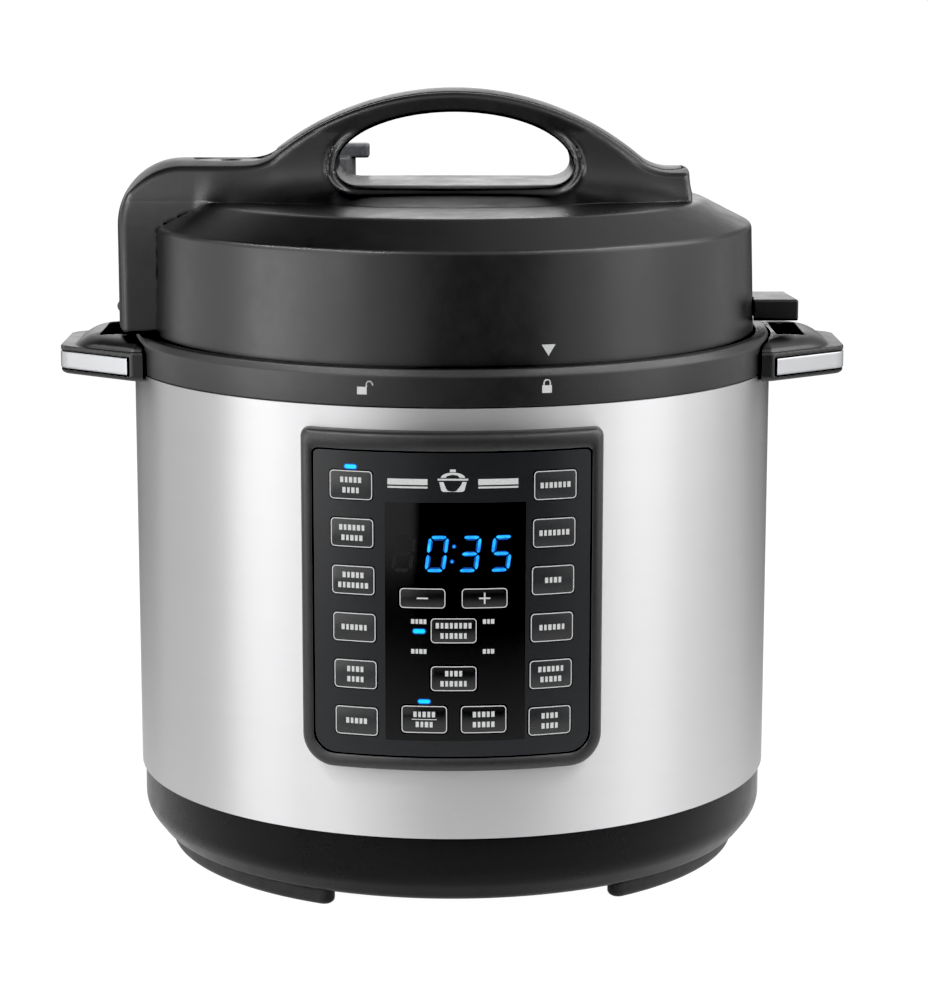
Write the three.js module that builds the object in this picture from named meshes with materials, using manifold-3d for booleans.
// Electric pressure cooker, six-quart class, built as separate named pieces.
// Millimetres, +Z up, front is -Y, right is +X. The origin is on the worktop, under the middle of the body.
import * as THREE from "three";
import { mergeVertices } from "three/addons/utils/BufferGeometryUtils.js";
import Module from "manifold-3d";

const wasm = await Module();
wasm.setup();

// ---- driving dimensions ----
const ROUND_STEPS = 36; // facets of every large round piece
const PIN_STEPS = 16; // facets of pins and small holes
const CURVE_STEPS = 4; // steps along each short arc of an outline
const GAP = 0.3; // between pieces that touch

const FOOT_TOP = 6.7, FOOT_IN_R = 112, FOOT_OUT_R = 120.5;
const BASE_Z = 7, BASE_FLOOR = 3, BASE_R = 131.6;
const BODY_R = 133, WRAP_BOTTOM = 35, WRAP_TOP = 204, WRAP_WALL = 1;
const COLLAR_TOP = 219, COLLAR_BORE_R = 126.7, COLLAR_FLOOR = 206.6, COLLAR_IN_R = 119.2;
const CAN_R = 118, CAN_WALL = 1, CAN_FLOOR = 39, CAN_FLANGE = 211;
const PLATE_TOP = 56.7, PLATE_R = 95;
const POT_R = 112.5, POT_WALL = 1.2, POT_BOTTOM = 57, POT_RIM_R = 118.6, POT_TOP = 215;
const LUG_COUNT = 6, LUG_ARC = 26, LUG_OUT_R = 121.4;
const LID_R = 124.6, LID_FOOT_R = 126.1, LID_BOTTOM = 216, LID_TOP = 273, LID_WALL = 2.2;
const SKIRT_R = 123, SKIRT_BOTTOM = 207.5, SKIRT_WALL = 1.1;
const VALVE = { x: -54, y: 58 };
const FLOAT = { x: -92, y: 0 };

const SIDE_TIP = 162.5, SIDE_BOTTOM = 201.5, SIDE_LEDGE = 213.2, SIDE_TOP = 217.9;
const SLOT = { x0: 134.5, x1: 146, y: 18, floor: 206.5 };
const TRIM = { z0: 203.9, z1: 210.9, depth: 1.1 };

const ARCH = { x: 0.7, top: 318, r: 121 };
const POST_X = 98.5, POST_TOP = 285.6;
const SHOULDER_TOP = 289, ARM_X = -139, ARM_BOTTOM = 219.5, ARM_CORNER_R = 29;
const GRIP = { x: 1, half: 48.6, floor: 279.7, waist: 286.5, top: 308.8, corner: 9 };
const STRIP = { half: 13, thick: 2.4, x0: -73, x1: 95.5, corner: 8 };

const PANEL = { half: 57.9, z0: 63.4, z1: 195.7, r: 139 };
const OVERLAY = { half: 53, z0: 69.4, z1: 188, r0: 136.3, r1: 138 };
const KEY = { r0: 135, r1: 138.3, clearance: 0.35, corner: 1.4 };
const KEY_COLUMN = { width: 17.2, height: 11.4, topX: 38.9, bottomX: 37.2, topZ: 174.8, pitch: 18.45 };
const CENTRE_X = 0.6;

const INLET = { z0: 42, z1: 66, half: 15.5, back: 119.4, face: 137.5, flange: 20 };
const CUP = { half: 32.5, z0: 141, z1: 202, y0: 122.6, y1: 142.5, wall: 1.8 };

// ---- solids ----
const rad = THREE.MathUtils.degToRad;
const TO_Z = new THREE.Matrix4().makeRotationX(Math.PI / 2);

function solid(geometry) {
  geometry.deleteAttribute("normal");
  geometry.deleteAttribute("uv");
  const merged = mergeVertices(geometry, 1e-4);
  const faces = [];
  for (let i = 0; i < merged.index.count; i += 3) {
    const [a, b, c] = merged.index.array.slice(i, i + 3);
    if (a !== b && b !== c && c !== a) faces.push([a, b, c]);
  }
  const made = (list) => new wasm.Manifold(new wasm.Mesh({
    numProp: 3,
    vertProperties: merged.attributes.position.array,
    triVerts: Uint32Array.from(list.flat()),
  }));
  const first = made(faces);
  return first.volume() < 0 ? made(faces.map(([a, b, c]) => [a, c, b])) : first;
}

// A profile of [r, z] points turned about Z. It starts and ends on the axis, or it is closed into a ring.
function turned(profile, steps = ROUND_STEPS) {
  const points = profile.map(([r, z]) => new THREE.Vector2(r, z));
  if (profile[0][0] > 0) points.push(points[0].clone());
  return solid(new THREE.LatheGeometry(points, steps).applyMatrix4(TO_Z));
}

function prism(shape, z0, z1, curveSegments = CURVE_STEPS) {
  const geometry = new THREE.ExtrudeGeometry(shape, { depth: z1 - z0, bevelEnabled: false, curveSegments });
  return solid(geometry.translate(0, 0, z0));
}

// An outline drawn in X and Z, extruded along Y.
function sidePrism(shape, y0, y1, curveSegments = CURVE_STEPS) {
  const geometry = new THREE.ExtrudeGeometry(shape, { depth: y1 - y0, bevelEnabled: false, curveSegments });
  return solid(geometry.applyMatrix4(TO_Z).translate(0, y1, 0));
}

function box(x0, x1, y0, y1, z0, z1) {
  const geometry = new THREE.BoxGeometry(x1 - x0, y1 - y0, z1 - z0);
  return solid(geometry.translate((x0 + x1) / 2, (y0 + y1) / 2, (z0 + z1) / 2));
}

function rod(r, z0, z1, at = { x: 0, y: 0 }, steps = PIN_STEPS) {
  const geometry = new THREE.CylinderGeometry(r, r, z1 - z0, steps).applyMatrix4(TO_Z);
  return solid(geometry.translate(at.x, at.y, (z0 + z1) / 2));
}

// Part of a ring between two angles, in degrees from +X.
function sector(r0, r1, a0, a1, z0, z1, steps = 10) {
  const shape = new THREE.Shape();
  shape.absarc(0, 0, r1, rad(a0), rad(a1), false);
  shape.absarc(0, 0, r0, rad(a1), rad(a0), true);
  return prism(shape, z0, z1, steps);
}

function roundedRect(x0, x1, y0, y1, r, rBottom = r) {
  const shape = new THREE.Shape();
  shape.moveTo(x0 + rBottom, y0);
  shape.lineTo(x1 - rBottom, y0);
  shape.absarc(x1 - rBottom, y0 + rBottom, rBottom, -Math.PI / 2, 0, false);
  shape.absarc(x1 - r, y1 - r, r, 0, Math.PI / 2, false);
  shape.absarc(x0 + r, y1 - r, r, Math.PI / 2, Math.PI, false);
  shape.absarc(x0 + rBottom, y0 + rBottom, rBottom, Math.PI, 1.5 * Math.PI, false);
  return shape;
}

// A stack of closed outlines with the same number of points, each a list of [x, y] at its own height.
function loft(sections) {
  const count = sections[0].points.length;
  const vertices = sections.flatMap(({ z, points }) => points.flatMap(([x, y]) => [x, y, z]));
  const faces = [];
  for (let s = 0; s + 1 < sections.length; s++) {
    for (let i = 0; i < count; i++) {
      const [a, b] = [s * count + i, s * count + ((i + 1) % count)];
      faces.push(a, b, b + count, a, b + count, a + count);
    }
  }
  const cap = ({ points }) =>
    THREE.ShapeUtils.triangulateShape(points.map(([x, y]) => new THREE.Vector2(x, y)), []);
  const top = (sections.length - 1) * count;
  cap(sections[0]).forEach(([a, b, c]) => faces.push(a, c, b));
  cap(sections.at(-1)).forEach(([a, b, c]) => faces.push(top + a, top + b, top + c));
  const geometry = new THREE.BufferGeometry();
  geometry.setAttribute("position", new THREE.Float32BufferAttribute(vertices, 3));
  return solid(geometry.setIndex(faces));
}

const mirrorX = (made) => made.mirror([1, 0, 0]);
const aboutZ = (made, degrees) => made.rotate([0, 0, degrees]);
const join = (...list) => list.reduce((a, b) => a.add(b));
const cut = (made, ...tools) => tools.reduce((a, b) => a.subtract(b), made);

// ---- finishes ----
const finish = (color, roughness, metalness) => () =>
  new THREE.MeshStandardMaterial({ color, roughness, metalness });
const blackPlastic = finish(0x1d1d1f, 0.45, 0);
const matteBlack = finish(0x141416, 0.65, 0);
const glossBlack = finish(0x0a0a0c, 0.08, 0);
const greyPlastic = finish(0x56575a, 0.5, 0);
const brushedSteel = finish(0xb9bbbd, 0.34, 1);
const brightSteel = finish(0xd8dadb, 0.2, 1);
const castAlloy = finish(0x9fa1a3, 0.45, 1);
const siliconeWhite = finish(0xd9d9d4, 0.7, 0);
const rubberBlack = finish(0x101010, 0.9, 0);
const boardGreen = finish(0x1f5a35, 0.6, 0);
const partYellow = finish(0xc9a227, 0.6, 0);

// ---- body of the cooker ----
function foot(a0, a1) {
  return sector(FOOT_IN_R, FOOT_OUT_R, a0, a1, 0, FOOT_TOP, 8);
}

const SCREW = { r: 100, count: 3, shank: 1.6, head: 4 };
const screwSpots = Array.from({ length: SCREW.count }, (_, i) => {
  const angle = rad(90 + (360 / SCREW.count) * i);
  return { x: SCREW.r * Math.cos(angle), y: SCREW.r * Math.sin(angle) };
});

function baseShell() {
  const floor = BASE_Z + BASE_FLOOR;
  const shell = turned([
    [0, BASE_Z], [124, BASE_Z], [127.6, 9.2], [130, 13.2], [131.2, 17.6], [BASE_R, 22],
    [BASE_R, WRAP_BOTTOM - GAP], [130.7, WRAP_BOTTOM - GAP], [130.7, 41], [128.7, 41],
    [128.7, 19], [122, floor], [0, floor],
  ]);
  const vents = Array.from({ length: 10 }, (_, i) => aboutZ(box(40, 84, -2, 2, 0, 20), 36 * i + 18));
  const holes = screwSpots.map((at) => rod(SCREW.shank + 0.5, 0, 20, at));
  return cut(shell, ...vents, ...holes);
}

function baseScrew(at) {
  return join(rod(SCREW.head, 4.4, FOOT_TOP, at), rod(SCREW.shank, FOOT_TOP - 0.1, 21, at));
}

function outerWrap() {
  const tube = turned([
    [BODY_R - WRAP_WALL, WRAP_BOTTOM], [BODY_R, WRAP_BOTTOM],
    [BODY_R, WRAP_TOP], [BODY_R - WRAP_WALL, WRAP_TOP],
  ]);
  const window = box(-50, 50, -150, -100, 70, 190);
  const inletHole = box(-INLET.half - GAP, INLET.half + GAP, 100, 150, INLET.z0 - GAP, INLET.z1 + GAP);
  const cupNotch = box(-CUP.half - 3.3, CUP.half + 3.3, 100, 150, CUP.z0 - 3.3, 250);
  return cut(tube, window, inletHole, cupNotch);
}

// Black ring on top of the wrap. Its floor carries the inner housing, and a pocket at the back holds the cup.
function collar() {
  const ring = turned([
    [COLLAR_IN_R, COLLAR_FLOOR], [COLLAR_IN_R, WRAP_TOP + 0.4], [129.9, WRAP_TOP + 0.4],
    [129.9, 199], [131.7, 199],
    [131.7, WRAP_TOP + GAP], [BODY_R, WRAP_TOP + GAP], [BODY_R, 214], [132.6, 217.2], [131.3, COLLAR_TOP],
    [127.5, COLLAR_TOP], [COLLAR_BORE_R, 218.2], [COLLAR_BORE_R, COLLAR_FLOOR],
  ]);
  const half = CUP.half + 3;
  const pocket = box(-half, half, CUP.y0 - 1.9, 150, CUP.z0 - 3, WRAP_TOP + 1);
  const inside = box(-CUP.half - 0.5, CUP.half + 0.5, CUP.y0 - 0.4, 150, CUP.z0 - 0.5, CUP.z1 + 0.5);
  return cut(join(ring, pocket.intersect(rod(BODY_R, 100, 300, undefined, ROUND_STEPS))), inside);
}

// Plan of a side handle: its tip and its slanted corners drawn in by separate amounts.
function sidePlan(inset, tipInset = inset) {
  const [tip, root, corner] = [SIDE_TIP - tipInset, 47 - inset, SIDE_TIP - 6.5 - tipInset];
  const shape = new THREE.Shape();
  shape.moveTo(112, -root);
  shape.lineTo(131, -root);
  shape.quadraticCurveTo(133.4, -root, 135.4, -root + 2);
  shape.lineTo(corner, -29 + inset);
  shape.quadraticCurveTo(tip, -25 + inset, tip, -17);
  shape.lineTo(tip, 17);
  shape.quadraticCurveTo(tip, 25 - inset, corner, 29 - inset);
  shape.lineTo(135.4, root - 2);
  shape.quadraticCurveTo(133.4, root, 131, root);
  shape.lineTo(112, root);
  return shape;
}

function sideHandle() {
  const outline = (inset, tipInset) =>
    sidePlan(inset, tipInset).getPoints(CURVE_STEPS).map((p) => [p.x, p.y]);
  const grooveIn = TRIM.depth + 0.2;
  const blank = join(
    prism(sidePlan(0), SIDE_BOTTOM, TRIM.z0 - GAP),
    prism(sidePlan(grooveIn), TRIM.z0 - GAP - 0.1, TRIM.z1 + GAP + 0.1),
    loft([
      { z: TRIM.z1 + GAP, points: outline(0) },
      { z: SIDE_LEDGE - 0.6, points: outline(0) },
      { z: SIDE_LEDGE, points: outline(0.7) },
      { z: SIDE_LEDGE + 1.4, points: outline(1.4, 7) },
      { z: SIDE_TOP, points: outline(2.4, 11.5) },
    ]),
  );
  const slot = box(SLOT.x0, SLOT.x1, -SLOT.y, SLOT.y, SLOT.floor, 250);
  return cut(blank, slot, rod(BODY_R + GAP + 0.1, 150, 250, undefined, ROUND_STEPS));
}

function sideTrim() {
  const band = cut(
    prism(sidePlan(0), TRIM.z0, TRIM.z1),
    prism(sidePlan(TRIM.depth - 0.1), TRIM.z0 - 1, TRIM.z1 + 1),
  );
  return cut(band, box(100, 136.5, -60, 60, 150, 250));
}

// ---- cooking chamber ----
const lugAngles = Array.from({ length: LUG_COUNT }, (_, i) => (360 / LUG_COUNT) * i);

function innerHousing() {
  const can = turned([
    [6, CAN_FLOOR], [CAN_R, CAN_FLOOR], [CAN_R, CAN_FLANGE], [119, CAN_FLANGE], [119, CAN_FLANGE + 1.5],
    [CAN_R - CAN_WALL, CAN_FLANGE + 1.5], [CAN_R - CAN_WALL, CAN_FLOOR + 1.2], [6, CAN_FLOOR + 1.2],
  ]);
  const lugs = lugAngles.map((a) =>
    sector(CAN_R - 0.5, LUG_OUT_R, a - LUG_ARC / 2, a + LUG_ARC / 2, CAN_FLANGE, CAN_FLANGE + 1.5, 4));
  const legFoot = BASE_Z + BASE_FLOOR + GAP;
  const legs = screwSpots.map(({ x, y }) => box(x - 6, x + 6, y - 6, y + 6, legFoot, CAN_FLOOR + 0.5));
  const bores = screwSpots.map((at) => rod(SCREW.shank + GAP, 0, 23, at));
  return cut(join(can, ...lugs, ...legs), ...bores);
}

function heatingPlate() {
  return turned([
    [9.5, PLATE_TOP], [PLATE_R, PLATE_TOP], [97, 55], [97, 46],
    [78, 46], [78, 40.6], [70, 40.6], [70, 44], [9.5, 44],
  ]);
}

function temperatureSensor() {
  return turned([[0, PLATE_TOP], [8.5, PLATE_TOP], [8.5, 52.2], [4, 52.2], [4, 33], [0, 33]], PIN_STEPS);
}

const COIL = { r: 5.7, wire: 0.5, z0: 40.9, z1: 51.6, turns: 4 };

class CoilCurve extends THREE.Curve {
  getPoint(t) {
    const angle = 2 * Math.PI * COIL.turns * t;
    const z = THREE.MathUtils.lerp(COIL.z0 + COIL.wire, COIL.z1 - COIL.wire, t);
    return new THREE.Vector3(COIL.r * Math.cos(angle), COIL.r * Math.sin(angle), z);
  }
}

function sensorSpring() {
  const section = new THREE.Shape();
  section.absarc(0, 0, COIL.wire, 0, 2 * Math.PI, false);
  return solid(new THREE.ExtrudeGeometry(section, {
    steps: 10 * COIL.turns, curveSegments: 2, bevelEnabled: false, extrudePath: new CoilCurve(),
  }));
}

function cookingPot() {
  const bore = POT_R - POT_WALL;
  return turned([
    [0, POT_BOTTOM], [104, POT_BOTTOM], [110, 59], [POT_R, 65], [POT_R, 211.6],
    [114.2, 213.3], [POT_RIM_R, 213.3],
    [POT_RIM_R, POT_TOP], [113.4, POT_TOP], [bore, 212], [bore, 65.6], [109, 60.1], [103.6, 58.4], [0, 58.4],
  ]);
}

// ---- electrical pieces ----
const powerBoard = () => box(-72, 28, -92, -22, 16, 17.6);
const transformer = () => join(box(-64, -36, -80, -56, 17.9, 33), box(-61, -39, -84, -52, 20, 31));
const relay = () => box(-18, 2, -60, -45, 17.9, 33);
const pressureSwitch = () =>
  join(box(34, 56, -11, 11, 22, 36.5), rod(5, 36, CAN_FLOOR - GAP, { x: 45, y: 0 }));
const controlBoard = () => box(-48, 48, -122, -120.4, 74, 184);
const displayModule = () => box(-25.5, 26.7, -133, -122.3, 136.7, 167.5);

// Mains inlet with three blades: a flange outside the wrap and a socket that reaches inside it.
function powerInlet() {
  const flange = cut(
    sidePrism(roundedRect(-INLET.flange, INLET.flange, INLET.z0 - 3, INLET.z1 + 3, 3), 100, INLET.face),
    rod(BODY_R + GAP, 0, 100, undefined, ROUND_STEPS),
  );
  const barrel = box(-INLET.half, INLET.half, INLET.back, INLET.face - 1, INLET.z0, INLET.z1);
  const socket = new THREE.Shape();
  socket.moveTo(-12.2, 46);
  socket.lineTo(12.2, 46);
  socket.lineTo(12.2, 57.5);
  socket.lineTo(7.5, 62);
  socket.lineTo(-7.5, 62);
  socket.lineTo(-12.2, 57.5);
  const shell = cut(join(flange, barrel), sidePrism(socket, INLET.back + 2, 150));
  const blade = (x, z) => box(x - 1, x + 1, INLET.back + 1, 131, z - 2, z + 2);
  return join(shell, blade(-7, 52), blade(0, 56.5), blade(7, 52));
}

// ---- control panel, curved with the body ----
const ring = (r0, r1) => turned([[r0, 40], [r1, 40], [r1, 220], [r0, 220]]);
const facing = (shape, curveSegments) => sidePrism(shape, -160, -60, curveSegments);

const columnX = (row) => THREE.MathUtils.lerp(KEY_COLUMN.topX, KEY_COLUMN.bottomX, row / 5);
const columnKeys = [-1, 1].flatMap((side) =>
  Array.from({ length: 6 }, (_, row) => ({
    name: `key_${side < 0 ? "left" : "right"}_${row + 1}`,
    x: side < 0 ? -columnX(row) + 0.4 : columnX(row) + 0.4,
    z: KEY_COLUMN.topZ - KEY_COLUMN.pitch * row,
    w: KEY_COLUMN.width,
    h: KEY_COLUMN.height,
  })));
const keys = [
  ...columnKeys,
  { name: "key_minus", x: CENTRE_X - 11.9, z: 131.8, w: 17.8, h: 8 },
  { name: "key_plus", x: CENTRE_X + 11.8, z: 131.8, w: 17.8, h: 8 },
  { name: "key_pressure", x: CENTRE_X, z: 119.2, w: 17.8, h: 10 },
  { name: "key_temperature", x: CENTRE_X, z: 100.4, w: 17.8, h: 10 },
  { name: "key_start_stop", x: CENTRE_X - 11.3, z: 84.2, w: 17.8, h: 11 },
  { name: "key_delay", x: CENTRE_X + 11.5, z: 84.2, w: 17.8, h: 11 },
];

// A key faces straight out of the panel at its own place on the curve.
function keyBlock({ x, z, w, h }, r0, r1, grow) {
  const [halfW, halfH] = [w / 2 + grow, h / 2 + grow];
  const outline = roundedRect(-halfW, halfW, z - halfH, z + halfH, KEY.corner + grow);
  const angle = THREE.MathUtils.radToDeg(Math.asin(x / OVERLAY.r1));
  return aboutZ(facing(outline, 1).intersect(ring(r0, r1)), angle);
}

function panelBezel() {
  const blank = facing(roundedRect(-PANEL.half, PANEL.half, PANEL.z0, PANEL.z1, 3.5, 12));
  const half = OVERLAY.half + GAP;
  const recess = facing(roundedRect(-half, half, OVERLAY.z0 - GAP, OVERLAY.z1 + GAP, 2, 8));
  const window = facing(roundedRect(-49, 49, 75, 183, 4));
  const frame = blank.intersect(ring(BODY_R + GAP, PANEL.r));
  return cut(frame, recess.intersect(ring(OVERLAY.r0 - GAP, PANEL.r + 5)), window);
}

function panelOverlay() {
  const sheet = facing(roundedRect(-OVERLAY.half, OVERLAY.half, OVERLAY.z0, OVERLAY.z1, 2, 8));
  const holes = keys.map((key) => keyBlock(key, 120, 150, KEY.clearance));
  return cut(sheet.intersect(ring(OVERLAY.r0, OVERLAY.r1)), ...holes);
}

// ---- condensation cup ----
function condensationCup() {
  const plan = roundedRect(-CUP.half, CUP.half, CUP.y0, CUP.y1, 1.5);
  const half = CUP.half - CUP.wall;
  const inner = roundedRect(-half, half, CUP.y0 + CUP.wall, CUP.y1 - CUP.wall, 1);
  return cut(prism(plan, CUP.z0, CUP.z1), prism(inner, CUP.z0 + CUP.wall, 250));
}

// ---- lid ----
// The outside of the lid as a solid, grown by a clearance, for cutting what sits on it.
function lidEnvelope(grow) {
  const [r, foot, top] = [LID_R + grow, LID_FOOT_R + grow, LID_TOP + grow];
  return turned([
    [0, 190], [foot, 190], [foot, 216], [r, 260], [r - 0.7, 261.8], [r - 2.2, 263.2],
    [119 + grow, 265.6 + grow], [111.3, 269.4 + grow], [105, 272 + grow], [101, top], [0, top],
  ]);
}

function lidCover() {
  const [bore, footBore] = [LID_R - LID_WALL, LID_FOOT_R - LID_WALL];
  const inside = turned([
    [0, 190], [footBore, 190], [footBore, 216], [bore, 257.4], [121.4, 261], [117.6, 263.6],
    [110.2, 267.2], [103.6, 269.8], [0, LID_TOP - LID_WALL],
  ]);
  const below = box(-200, 200, -200, 200, 100, LID_BOTTOM);
  return cut(lidEnvelope(0), inside, below, rod(9, 250, 300, VALVE), rod(4, 250, 300, FLOAT));
}

function lidPlate() {
  const bore = SKIRT_R - SKIRT_WALL;
  const dome = turned([
    [0, 236], [100, 234.2], [112.6, 229.6], [121, 228], [SKIRT_R, 226],
    [SKIRT_R, SKIRT_BOTTOM], [bore, SKIRT_BOTTOM],
    [bore, 225], [119.6, 226.6], [112, 228], [100, 232.6], [0, 234.4],
  ]);
  const between = 180 / LUG_COUNT;
  const lugs = lugAngles.map((a) => {
    const middle = a + between;
    const [from, to] = [middle - LUG_ARC / 2, middle + LUG_ARC / 2];
    return sector(119.7, bore + 0.5, from, to, SKIRT_BOTTOM, SKIRT_BOTTOM + 1.6, 4);
  });
  return cut(join(dome, ...lugs), rod(4.4, 200, 250, VALVE), rod(3, 200, 250, FLOAT));
}

function sealingRing() {
  return turned([
    [108.4, 217.4], [111, 215.4], [118.4, 215.4], [120.8, 217.6], [120.8, 224.6],
    [119.4, 225.9], [109.6, 228.2],
    [108.4, 227], [108.4, 223.6], [110, 222.8], [110, 219.4], [108.4, 218.6],
  ]);
}

const sealRack = () => turned([[106, 219.8], [109.6, 219.8], [109.6, 222.4], [106, 222.4]]);

// Side outline of the handle, in X and Z: right post, arch, left shoulder and arm.
function handleOutline() {
  const centreZ = ARCH.top - ARCH.r;
  const archAngle = (x) => Math.acos((x - ARCH.x) / ARCH.r);
  const onArch = (angle) => [ARCH.x + ARCH.r * Math.cos(angle), centreZ + ARCH.r * Math.sin(angle)];
  const [right, left] = [archAngle(77.7), archAngle(-73.3)];
  const shape = new THREE.Shape();
  shape.moveTo(POST_X, 262);
  shape.lineTo(POST_X, POST_TOP - 2);
  shape.quadraticCurveTo(POST_X, POST_TOP, POST_X - 2, POST_TOP);
  shape.lineTo(91, POST_TOP);
  shape.quadraticCurveTo(83.4, POST_TOP, ...onArch(right));
  shape.absarc(ARCH.x, centreZ, ARCH.r, right, left, false);
  shape.quadraticCurveTo(-78.1, SHOULDER_TOP, -86, SHOULDER_TOP);
  shape.lineTo(ARM_X + ARM_CORNER_R, SHOULDER_TOP);
  shape.absarc(ARM_X + ARM_CORNER_R, SHOULDER_TOP - ARM_CORNER_R, ARM_CORNER_R, Math.PI / 2, Math.PI, false);
  shape.lineTo(ARM_X, ARM_BOTTOM);
  shape.lineTo(-105, ARM_BOTTOM);
  shape.lineTo(-105, 262);
  return shape;
}

// The finger gap: half an ellipse over a flat floor with rounded corners.
function gripOutline() {
  const { x, half, floor, waist, top, corner } = GRIP;
  const drop = waist - floor;
  const shape = new THREE.Shape();
  shape.moveTo(x - half + corner, floor);
  shape.lineTo(x + half - corner, floor);
  shape.absellipse(x + half - corner, waist, corner, drop, -Math.PI / 2, 0, false);
  shape.absellipse(x, waist, half, top - waist, 0, Math.PI, false);
  shape.absellipse(x - half + corner, waist, corner, drop, Math.PI, 1.5 * Math.PI, false);
  return shape;
}

// Half the handle's depth along Y: a broad foot on the lid that flares down from the narrow arch.
function handleHalf(x, z) {
  const along = (stops) => {
    const i = Math.max(1, stops.findIndex(([at]) => x <= at));
    const [[x0, v0], [x1, v1]] = [stops[i - 1], stops[i]];
    return THREE.MathUtils.lerp(v0, v1, THREE.MathUtils.smoothstep(x, x0, x1));
  };
  const foot = along([
    [-140, 27.5], [-106, 27.5], [-90, 33.5], [-62, 38.5], [-25, 54], [0, 57],
    [25, 54], [68, 33.5], [98, 25.5], [100, 25.5],
  ]);
  const arm = Math.max(15, 34 - 0.0048 * Math.max(0, z - 235) ** 2);
  const arch = 17 + 6 * THREE.MathUtils.clamp((301 - z) / 28, 0, 1);
  const waist = THREE.MathUtils.lerp(arm, arch, along([[-140, 0], [-100, 0], [-72, 1], [100, 1]]));
  const flare = Math.max(0, foot - (x < -72 ? 26.5 : 23));
  return waist + flare * Math.exp((LID_TOP - Math.max(z, LID_TOP)) / 4);
}

const HANDLE_STATIONS = [-139.6, -138, -133, -115, -95, -75, -58, -40, -20, 0, 20, 38, 55, 72, 88, 96, 99];
const HANDLE_LEVELS = [219, 235, 248, 261, 273, 274.2, 275.8, 278, 281, 286, 294, 304, 319];

function handleBlank() {
  const rounding = (i, last) => (i === 0 || i === last ? 3.5 : i === 1 || i === last - 1 ? 1 : 0);
  const sections = HANDLE_LEVELS.map((z) => {
    const last = HANDLE_STATIONS.length - 1;
    const front = HANDLE_STATIONS.map((x, i) => [x, -(handleHalf(x, z) - rounding(i, last))]);
    return { z, points: [...front, ...front.map(([x, y]) => [x, -y]).reverse()] };
  });
  const reach = rod(-ARM_X, 200, 330, undefined, 2 * ROUND_STEPS);
  return loft(sections).intersect(sidePrism(handleOutline(), -70, 70, 10)).intersect(reach);
}

// Everything over the lowered outline of the handle, inside the plan of the top strip.
function stripSpace(grow) {
  const { half, thick, x0, x1, corner } = STRIP;
  const plan = roundedRect(x0 - grow, x1 + grow, -half - grow, half + grow, corner);
  const lowered = sidePrism(handleOutline(), -80, 80, 10).translate([0, 0, -thick - grow]);
  return cut(prism(plan, 275, 330), lowered);
}

const handleTopStrip = () => stripSpace(0).intersect(sidePrism(handleOutline(), -80, 80, 10));

function lidHandle() {
  const grip = sidePrism(gripOutline(), -80, 80, 8);
  return cut(handleBlank(), lidEnvelope(GAP), grip, stripSpace(GAP), rod(4, 200, 300, FLOAT));
}

function lidRestTab() {
  const shape = new THREE.Shape();
  shape.moveTo(120, -18);
  shape.lineTo(143.5, -18);
  shape.lineTo(140.7, 12);
  shape.lineTo(120, 12);
  return cut(prism(shape, 222.9, 231.7), lidEnvelope(GAP));
}

function ventPipe() {
  const profile = [[1.6, 229.5], [6, 229.5], [6, 231.6], [4, 231.6], [4, 277.5], [1.6, 277.5]];
  return turned(profile, PIN_STEPS).translate([VALVE.x, VALVE.y, 0]);
}

function valveShield() {
  const profile = [[4.5, 229.1], [11, 229.1], [11, 222], [10, 222], [10, 228], [4.5, 228]];
  return turned(profile, PIN_STEPS).translate([VALVE.x, VALVE.y, 0]);
}

// Steam valve: a round weight over the vent pipe, with a lever across its top.
function steamValveKnob() {
  const profile = [
    [0, 285.6], [12, 285.6], [12, 276], [13, 274.6],
    [13, 273.5], [4.6, 273.5], [4.6, 278], [0, 278],
  ];
  const body = turned(profile, 24).translate([VALVE.x, VALVE.y, 0]);
  const lever = prism(roundedRect(-18, 18, -6.5, 6.5, 2), 285.2, 291).translate([VALVE.x, VALVE.y, 0]);
  return join(body, lever);
}

function floatValve() {
  return turned([[0, 225.4], [5, 225.4], [5, 227.2], [2.4, 227.2], [2.4, 285.6], [0, 285.6]], PIN_STEPS)
    .translate([FLOAT.x, FLOAT.y, 0]);
}

function floatGasket() {
  return turned([[2.8, 227.5], [6, 227.5], [6, 229], [2.8, 229]], PIN_STEPS).translate([FLOAT.x, FLOAT.y, 0]);
}

function lidLockSlider() {
  return cut(box(-117, -85, -6, 6, 240, 245), rod(5.8, 200, 300, FLOAT));
}

// ---- assembly ----
function piece(name, made, material) {
  const { numProp, vertProperties, triVerts } = made.getMesh();
  const geometry = new THREE.BufferGeometry();
  geometry.setAttribute("position", new THREE.BufferAttribute(vertProperties, numProp));
  geometry.setIndex(new THREE.BufferAttribute(triVerts, 1));
  geometry.computeVertexNormals();
  const mesh = new THREE.Mesh(geometry, material());
  mesh.name = name;
  return mesh;
}

function group(...children) {
  const made = new THREE.Group();
  made.add(...children);
  return made;
}

const rightHandle = sideHandle();
const rightTrim = sideTrim();

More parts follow.
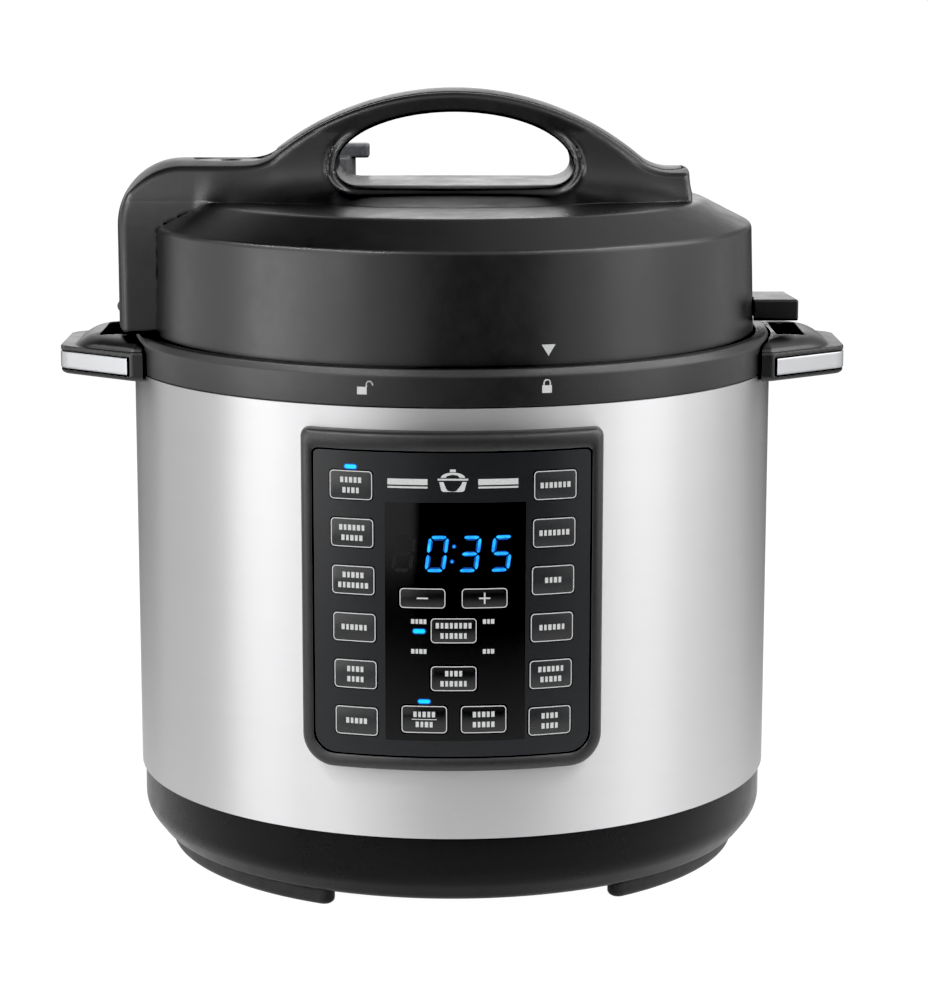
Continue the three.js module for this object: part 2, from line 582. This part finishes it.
const housing = group(
  piece("base_shell", baseShell(), blackPlastic),
  piece("foot_front_left", foot(185, 246), rubberBlack),
  piece("foot_front_right", foot(303, 355), rubberBlack),
  piece("foot_rear_left", foot(114, 175), rubberBlack),
  piece("foot_rear_right", foot(5, 57), rubberBlack),
  ...screwSpots.map((at, i) => piece(`base_screw_${i + 1}`, baseScrew(at), brightSteel)),
  piece("outer_wrap", outerWrap(), brushedSteel),
  piece("collar", collar(), blackPlastic),
  piece("handle_right", rightHandle, blackPlastic),
  piece("handle_left", mirrorX(rightHandle), blackPlastic),
  piece("handle_trim_right", rightTrim, brightSteel),
  piece("handle_trim_left", mirrorX(rightTrim), brightSteel),
  piece("inner_housing", innerHousing(), brightSteel),
  piece("heating_plate", heatingPlate(), castAlloy),
  piece("sensor_spring", sensorSpring(), brightSteel),
  piece("power_board", powerBoard(), boardGreen),
  piece("transformer", transformer(), partYellow),
  piece("relay", relay(), matteBlack),
  piece("pressure_switch", pressureSwitch(), matteBlack),
  piece("power_inlet", powerInlet(), matteBlack),
  piece("panel_bezel", panelBezel(), blackPlastic),
  piece("panel_overlay", panelOverlay(), glossBlack),
  piece("display_module", displayModule(), matteBlack),
  piece("control_board", controlBoard(), boardGreen),
);
const keypad = group(...keys.map((key) => piece(key.name, keyBlock(key, KEY.r0, KEY.r1, 0), glossBlack)));
const sensor = group(piece("temperature_sensor", temperatureSensor(), brightSteel));
const cup = group(piece("condensation_cup", condensationCup(), matteBlack));
const pot = group(piece("cooking_pot", cookingPot(), brightSteel));
const seal = group(
  piece("sealing_ring", sealingRing(), siliconeWhite),
  piece("seal_rack", sealRack(), brightSteel),
);
const valve = group(piece("steam_valve_knob", steamValveKnob(), greyPlastic));
const indicator = group(
  piece("float_valve", floatValve(), brightSteel),
  piece("float_gasket", floatGasket(), siliconeWhite),
);
const lock = group(piece("lid_lock_slider", lidLockSlider(), greyPlastic));
const lid = group(
  piece("lid_cover", lidCover(), blackPlastic),
  piece("lid_plate", lidPlate(), brightSteel),
  piece("lid_handle", lidHandle(), blackPlastic),
  piece("handle_top_strip", handleTopStrip(), blackPlastic),
  piece("lid_rest_tab", lidRestTab(), blackPlastic),
  piece("vent_pipe", ventPipe(), brightSteel),
  piece("valve_shield", valveShield(), brightSteel),
  valve,
  indicator,
  lock,
);

export default group(housing, keypad, sensor, cup, pot, seal, lid);
